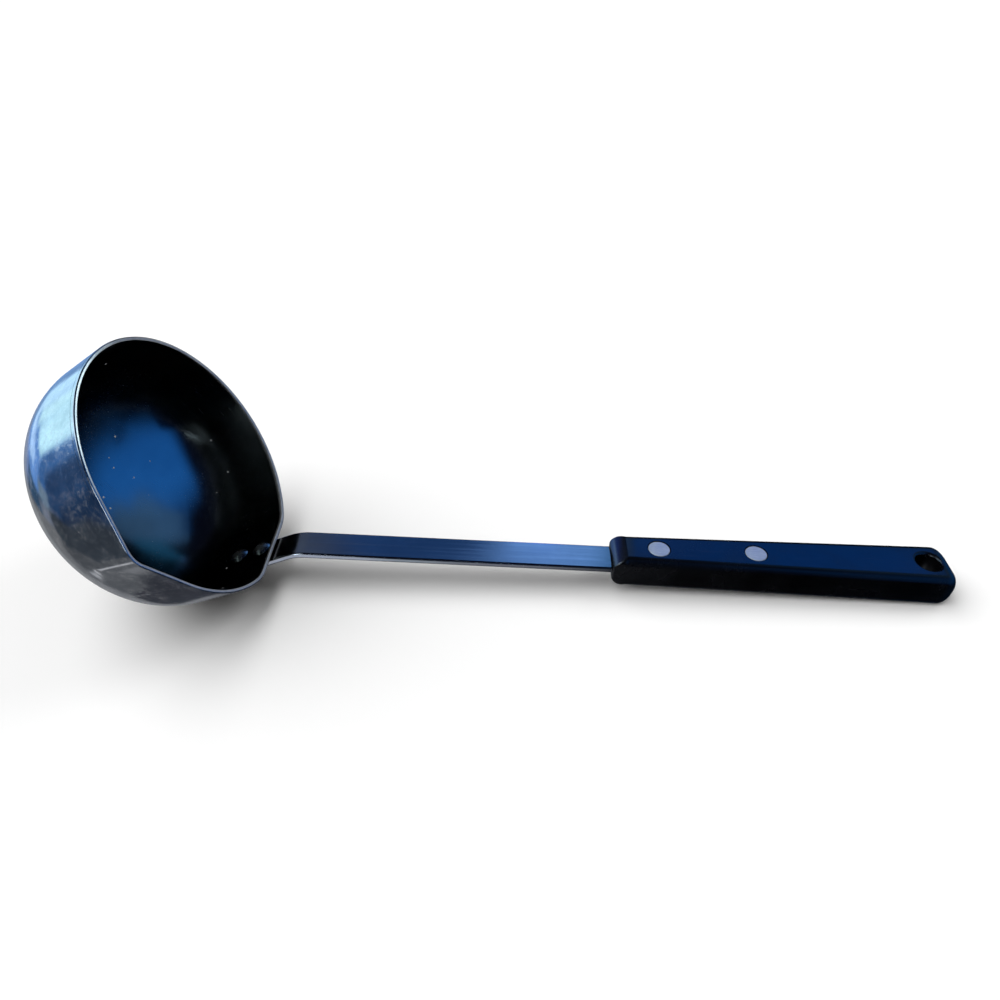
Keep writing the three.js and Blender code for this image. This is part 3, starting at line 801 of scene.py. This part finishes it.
def handle_rings():
    half = HANDLE_THICKNESS / 2
    start = Vector((0, FRONT_HEIGHT / 2))
    end = Vector((FRONT_BEVEL, half))
    pull = start.lerp(end, 0.5).lerp(Vector((0, half)), FRONT_SWELL)
    rings = []
    for step in range(BEVEL_STEPS + 1):
        t = step / BEVEL_STEPS
        at = start * (1 - t) ** 2 + pull * 2 * t * (1 - t) + end * t**2
        side = handle_half_width(at.x) - max(0, FRONT_CORNER - at.x)
        radius = FRONT_CORNER + (HANDLE_EDGE - FRONT_CORNER) * (at.x / FRONT_BEVEL) ** 2
        rings.append(handle_ring(at.x, side, at.y, radius))
    nose_start = HANDLE_LENGTH - HANDLE_NOSE
    for x in np.linspace(FRONT_BEVEL, nose_start, GRIP_STEPS + 1)[1:-1]:
        rings.append(handle_ring(x, handle_half_width(x), half, HANDLE_EDGE))
    for step in range(NOSE_STEPS + 1):
        turn = step / NOSE_STEPS * QUARTER
        inset = HANDLE_NOSE * (1 - math.cos(turn))
        x = HANDLE_LENGTH - HANDLE_NOSE * (1 - math.sin(turn))
        radius = min(HANDLE_EDGE + inset / 2, END_ROUND_SHARE * (half - inset))
        rings.append(handle_ring(x, handle_half_width(nose_start) - inset, half - inset, radius))
    return rings


def hang_cutter():
    half = HANDLE_THICKNESS / 2
    wide = HANG_RADIUS + HANG_MOUTH
    beyond = half + HANG_MOUTH
    low = arc((wide, HANG_MOUTH - half), HANG_MOUTH, 3 * QUARTER, 2 * QUARTER, MOUTH_STEPS)
    high = arc((wide, half - HANG_MOUTH), HANG_MOUTH, 2 * QUARTER, QUARTER, MOUTH_STEPS)
    profile = [(0, -beyond), (wide, -beyond), *low, *high, (wide, beyond), (0, beyond)]
    place = handle_frame @ Matrix.Translation((HANDLE_LENGTH - HANG_FROM_END, 0, 0))
    return add_object("tool", turned("tool", profile, HANG_SEGMENTS), place)


def tang_cutter():
    wide = TANG_WIDTH / 2 + CLEARANCE
    high = SHANK_THICKNESS / 2 + CLEARANCE
    near = (-HANDLE_EDGE, -wide, TANG_RISE - high)
    far = (TANG_LENGTH, wide, TANG_RISE + high)
    return slab(near, far, handle_frame)


def rivet_cutter(x):
    beyond = HANDLE_THICKNESS
    seat = HANDLE_THICKNESS / 2 - RIVET_SUNK - RIVET_HEAD_HEIGHT - CLEARANCE
    head = RIVET_HEAD_RADIUS + CLEARANCE
    bore = POST_RADIUS + CLEARANCE
    low = [(0, -beyond), (head, -beyond), (head, -seat), (bore, -seat)]
    high = [(bore, seat), (head, seat), (head, beyond), (0, beyond)]
    place = handle_frame @ Matrix.Translation((x, 0, 0))
    return add_object("tool", turned("tool", low + high), place)


def make_handle():
    handle = add_object("handle_grip", tube("handle_grip", handle_rings()), handle_frame)
    cut(handle, [tang_cutter(), hang_cutter(), *map(rivet_cutter, handle_rivet_places)])
    finish_piece(handle, "handle", handle_material(), HANDLE_SHARP)


def make_handle_rivets(material):
    face = HANDLE_THICKNESS / 2 - RIVET_SUNK
    under = face - RIVET_HEAD_HEIGHT
    top = under - CLEARANCE
    pin = POST_BORE_RADIUS - CLEARANCE
    edge = RIVET_HEAD_RADIUS - RIVET_HEAD_BREAK
    low_centre = (edge, RIVET_HEAD_BREAK - face)
    high_centre = (edge, face - RIVET_HEAD_BREAK)
    post = [
        (0, -face),
        *arc(low_centre, RIVET_HEAD_BREAK, 3 * QUARTER, 4 * QUARTER, BREAK_STEPS),
        (RIVET_HEAD_RADIUS, -under),
        (POST_RADIUS, -under),
        (POST_RADIUS, top),
        (POST_BORE_RADIUS, top),
        (POST_BORE_RADIUS, -under),
        (0, -under),
    ]
    cap = [
        (0, CLEARANCE - under),
        (pin, CLEARANCE - under),
        (pin, under),
        (RIVET_HEAD_RADIUS, under),
        *arc(high_centre, RIVET_HEAD_BREAK, 0, QUARTER, BREAK_STEPS),
        (0, face),
    ]
    for name, x in zip(("front", "rear"), handle_rivet_places):
        place = handle_frame @ Matrix.Translation((x, 0, 0))
        for part, profile in (("post", post), ("cap", cap)):
            mesh = turned(f"handle_rivet_{name}_{part}_turned", profile)
            mark_scuffed(mesh, HANDLE_RIVET_SCUFF)
            rivet = add_object(mesh.name, mesh, place)
            finish_piece(rivet, f"handle_rivet_{name}_{part}", material, RIVET_SHARP)


make_bowl()
make_shank()
make_handle()
rivet_steel = rivet_material()
make_bowl_rivets(rivet_steel)
make_handle_rivets(rivet_steel)

# Studio

FLOOR_SIZE = 12.0
WHITE = (1, 1, 1, 1)
WORLD_STRENGTH = 0.204

# Sun lamps: strength, azimuth, elevation and breadth, angles in degrees
SUNS = {
    "key": (3.13, 175, 50, 78),
    "fill": (0.55, 30, 40, 30),
}

# Small lamps seen in reflections only: a corner and the two beside it in mm, light, breadth in degrees
REFLECTED_LAMPS = {
    "rim_lamp": ((-120, 18, 90), (-101, -8, 74), (-113, 24, 102), (4.4, 5.4, 5.3), 180),
    "front_lamp": ((28, -12, 22), (28, 2, 22), (11, -12, 75), (2.2, 2.8, 3.4), 180),
    "bevel_lamp": ((5.4, 40.4, 3.2), (29.4, 64.4, 27.2), (-6, 29, 26), (0.0, 0.07, 0.6), 180),
    "handle_lamp": ((57, 60, 48), (209, 60, 54), (57, 60, 84), (0.0, 0.1, 0.65), 150),
}

# Power of an area lamp, over its area and the light that it shows
LAMP_POWER = 4

# Ray depths up to the first reflection, where meeting a lamp counts a step more than meeting a mesh
MESH_RAY_LIMIT = 1.5
LAMP_RAY_LIMIT = 2.5

# Panels of the reflected room: azimuths from and to, elevations from and to, softness of the edges
# across and up, colour of the light. Azimuths run from +X toward +Y. Later panels lie over earlier ones.
PANELS = (
    # On the handle's side
    (-64, 64, -90, -2, 6, 10, (0.003, 0.012, 0.03)),
    (-50, 34, 10, 42, 22, 34, (0.0143, 0.129, 0.44)),
    (12, 46, 32, 60, 14, 6, (0.045, 0.12, 0.24)),
    (30, 50, 20, 40, 10, 8, (0.042, 0.105, 0.2)),
    # Behind the ladle, as the camera sees it
    (106, 132, 14, 50, 3, 5, (0.062, 0.083, 0.132)),
    (90, 104, 30, 50, 3, 4, (0.014, 0.052, 0.17)),
    (76, 86, 31, 47, 4, 4, (0.19, 0.42, 0.95)),
    (51, 75.3, 31, 47, 3, 4, (0.013, 0.09, 0.18)),
    # On the bowl's side, from about level down
    (195, 218, -13, 10, 4, 5, (0.018, 0.045, 0.11)),
    (120, 150, -24, 6, 5, 6, (0.2, 0.38, 0.72)),
    (150, 182, -11, 16, 6, 5, (0.17, 0.4, 0.92)),
    (182, 192, -8, 14, 5, 6, (0.07, 0.2, 0.5)),
    (192, 203, -8, 14, 5, 6, (0.03, 0.08, 0.2)),
    (181, 190, -12, -5, 4, 3, (0.22, 0.33, 0.45)),
    (150, 160, -17, -12, 5, 3, (0.25, 0.37, 0.7)),
    (162, 180, -21, -13, 5, 3, (0.05, 0.11, 0.2)),
    (134, 156, 4, 14, 5, 3, (0.89, 1.43, 1.63)),
    (156, 176, 8.5, 14, 5, 2.5, (0.85, 1.4, 1.63)),
    (139, 148, -4, 5, 4, 4, (0.75, 1.2, 1.6)),
    (147, 162, -6, -2.5, 4, 2.5, (0.8, 1.2, 1.65)),
    (156, 168, -4.5, 0, 4, 2.5, (0.6, 0.95, 1.5)),
    (138, 152, -27, -16, 6, 4, (0.28, 0.34, 0.47)),
    (180, 190, -28, -16, 5, 4, (0.2, 0.24, 0.32)),
    (135, 168, -52, -26, 8, 4, (0.31, 0.325, 0.34)),
    (168, 190, -52, -24, 7, 4, (0.21, 0.22, 0.235)),
    (192, 225, -31, -14, 5, 4, (0.05, 0.064, 0.083)),
    (188, 225, -45, -32, 7, 4, (0.11, 0.12, 0.135)),
    (130, 180, -59, -48, 12, 4, (0.25, 0.26, 0.28)),
    (180, 225, -62, -48, 8, 4, (0.14, 0.15, 0.165)),
    (187, 195, -47.4, -45.2, 3, 1.8, (0.62, 0.64, 0.68)),
    # All around, far down
    (-400, 400, -90, -64, 5, 4, (0.05, 0.055, 0.07)),
    # On the bowl's side, higher up
    (160, 200, 16, 44, 5, 3, (1.1, 1.45, 1.8)),
    (145, 160, 20, 36, 4, 4, (1.1, 1.45, 1.8)),
    # On the camera's side
    (236, 247, 10, 28, 3, 4, (3.0, 3.6, 4.2)),
    (239, 249, -40, -14, 3, 4, (0.5, 0.51, 0.55)),
    (240, 285, -64, -52, 3, 3, (0.03, 0.032, 0.036)),
    (258, 281, -30, 9, 3, 3, (0.02, 0.03, 0.05)),
    (246, 257, -48, -12, 3, 3, (0.5, 0.55, 0.66)),
    (257, 264, -48, -33, 2, 3, (0.33, 0.38, 0.43)),
    (264, 276, -48, -33, 1.5, 3, (0.2, 0.21, 0.25)),
    (282, 310, -60, -5, 3, 6, (0.001, 0.001, 0.002)),
)
ROOM_ABOVE = np.array((0.003, 0.004, 0.009))
ROOM_BELOW = np.array((0.09, 0.1, 0.115))
HORIZON_SOFTNESS = 4
ROOM_RADIUS = 3.0
ROOM_COLUMNS = 360
ROOM_ROWS = 180

# Camera: turns about X, Y and Z in degrees, measures in mm, reach in metres
CAMERA_AT = Vector((-4.82955, -217.58634, 215.10543)) * MM
CAMERA_TURN = (51.0329, -0.9, 1.3539)
SENSOR = 36.0
LENS = 28.445
CAMERA_REACH = (0.01, 50.0)


def make_floor():
    half = FLOOR_SIZE / 2
    corners = [(-half, -half, 0), (half, -half, 0), (half, half, 0), (-half, half, 0)]
    mesh = new_mesh("floor", corners, [(0, 1, 2, 3)])
    floor = add_object("floor", mesh, UNTURNED)
    material, _, shader = new_material("floor_paper")
    shader.inputs["Base Color"].default_value = WHITE
    shader.inputs["Roughness"].default_value = 1.0
    shader.inputs["Specular IOR Level"].default_value = 0.0
    mesh.materials.append(material)
    floor.visible_glossy = False


def make_world():
    """White where it is seen, and a weak even light on matt surfaces."""
    world = bpy.data.worlds.new("studio")
    bpy.context.scene.world = world
    world.use_nodes = True
    tree = world.node_tree
    tree.nodes.clear()
    out = node(tree, "ShaderNodeOutputWorld")
    path = node(tree, "ShaderNodeLightPath")
    seen = maths(tree, "MAXIMUM", path.outputs["Is Camera Ray"], path.outputs["Is Glossy Ray"])
    seen = maths(tree, "MAXIMUM", seen, path.outputs["Is Transmission Ray"])
    level = node(tree, "ShaderNodeMapRange", {"Value": seen, "To Min": WORLD_STRENGTH, "To Max": 1.0})
    sockets = {"Color": WHITE, "Strength": level.outputs["Result"]}
    back = node(tree, "ShaderNodeBackground", sockets)
    tree.links.new(back.outputs["Background"], out.inputs["Surface"])


def make_sun(name, strength, azimuth, elevation, breadth):
    """Soft lamp from afar that leaves no spot in reflections."""
    lamp = bpy.data.lights.new(name, "SUN")
    lamp.energy = strength
    lamp.angle = math.radians(breadth)
    turn, rise = math.radians(azimuth), math.radians(elevation)
    level = math.cos(rise)
    toward = Vector((level * math.cos(turn), level * math.sin(turn), math.sin(rise)))
    sun = add_object(name, lamp, toward.to_track_quat("Z", "Y").to_matrix().to_4x4())
    sun.visible_glossy = False


def reflections_only(obj):
    obj.visible_camera = False
    obj.visible_diffuse = False
    obj.visible_shadow = False
    obj.visible_transmission = False
    obj.visible_volume_scatter = False


def first_reflection(tree, limit):
    """1 for light that reaches the camera over one surface, 0 for light that goes on between surfaces."""
    depth = node(tree, "ShaderNodeLightPath").outputs["Ray Depth"]
    return maths(tree, "LESS_THAN", depth, limit)


def make_reflected_lamp(name, corner, beside, above, light, breadth):
    """Area lamp that shines to one side and shows in reflections only."""
    across = (Vector(beside) - Vector(corner)) * MM
    rise = (Vector(above) - Vector(corner)) * MM
    facing = across.cross(rise)
    lamp = bpy.data.lights.new(name, "AREA")
    lamp.shape = "RECTANGLE"
    lamp.size = across.length
    lamp.size_y = facing.length / across.length
    lamp.spread = math.radians(breadth)
    lamp.color = [part / max(light) for part in light]
    lamp.energy = LAMP_POWER * facing.length * max(light)
    lamp.use_nodes = True
    tree = lamp.node_tree
    tree.links.new(first_reflection(tree, LAMP_RAY_LIMIT), tree.nodes["Emission"].inputs["Strength"])
    x, z = across.normalized(), -facing.normalized()
    turn = Matrix((x, z.cross(x), z)).transposed().to_4x4()
    middle = Vector(corner) * MM + (across + rise) / 2
    reflections_only(add_object(name, lamp, Matrix.Translation(middle) @ turn))


def ramp(value, low, high, soft):
    """1 between two limits, falling to 0 over a soft edge outside them."""
    rise = np.clip((value - low) / soft + 1, 0, 1)
    fall = np.clip((high - value) / soft + 1, 0, 1)
    share = np.minimum(rise, fall)
    return share * share * (3 - 2 * share)


def room_light(azimuth, elevation):
    """Colour of the room's light in each direction, given in degrees."""
    below = np.clip(-elevation / HORIZON_SOFTNESS, 0, 1)[..., None]
    colour = (1 - below) * ROOM_ABOVE + below * ROOM_BELOW
    for az_from, az_to, el_from, el_to, soft_az, soft_el, light in PANELS:
        across = np.zeros_like(azimuth)
        for whole in (-360, 0, 360):
            across = np.maximum(across, ramp(azimuth + whole, az_from, az_to, soft_az))
        share = (across * ramp(elevation, el_from, el_to, soft_el))[..., None]
        colour = colour * (1 - share) + share * np.array(light)
    return colour


def room_material():
    """Material that shines by the mesh's own colours and reflects nothing."""
    material, tree, out = empty_material("room_light")
    light = node(tree, "ShaderNodeAttribute", attribute_name="light").outputs["Color"]
    sockets = {"Color": light, "Strength": first_reflection(tree, MESH_RAY_LIMIT)}
    glow = node(tree, "ShaderNodeEmission", sockets)
    tree.links.new(glow.outputs["Emission"], out.inputs["Surface"])
    material.cycles.emission_sampling = "NONE"
    return material


def make_room():
    """Shell that only reflections see: a dark room with soft panels of light."""
    turn = np.arange(ROOM_COLUMNS) * 2 * math.pi / ROOM_COLUMNS
    rise = np.linspace(-QUARTER, QUARTER, ROOM_ROWS + 1)[1:-1]
    el, az = np.meshgrid(rise, turn, indexing="ij")
    toward = np.stack([np.cos(el) * np.cos(az), np.cos(el) * np.sin(az), np.sin(el)], -1)
    mesh = tube("room", (toward * ROOM_RADIUS).tolist())
    colour = room_light(np.degrees(az), np.degrees(el))
    rgba = np.concatenate([colour, np.ones_like(colour[..., :1])], -1)
    layer = mesh.color_attributes.new("light", "FLOAT_COLOR", "POINT")
    layer.data.foreach_set("color", rgba.reshape(-1))
    mesh.materials.append(room_material())
    room = add_object("room", mesh, UNTURNED)
    reflections_only(room)


def make_camera():
    data = bpy.data.cameras.new("camera")
    data.sensor_width = SENSOR
    data.lens = LENS
    data.clip_start, data.clip_end = CAMERA_REACH
    turn = Euler([math.radians(angle) for angle in CAMERA_TURN]).to_matrix().to_4x4()
    bpy.context.scene.camera = add_object("camera", data, Matrix.Translation(CAMERA_AT) @ turn)


make_floor()
make_world()
for lamp_name, settings in SUNS.items():
    make_sun(lamp_name, *settings)
for lamp_name, settings in REFLECTED_LAMPS.items():
    make_reflected_lamp(lamp_name, *settings)
make_room()
make_camera()
bpy.context.scene.view_settings.view_transform = "Standard"
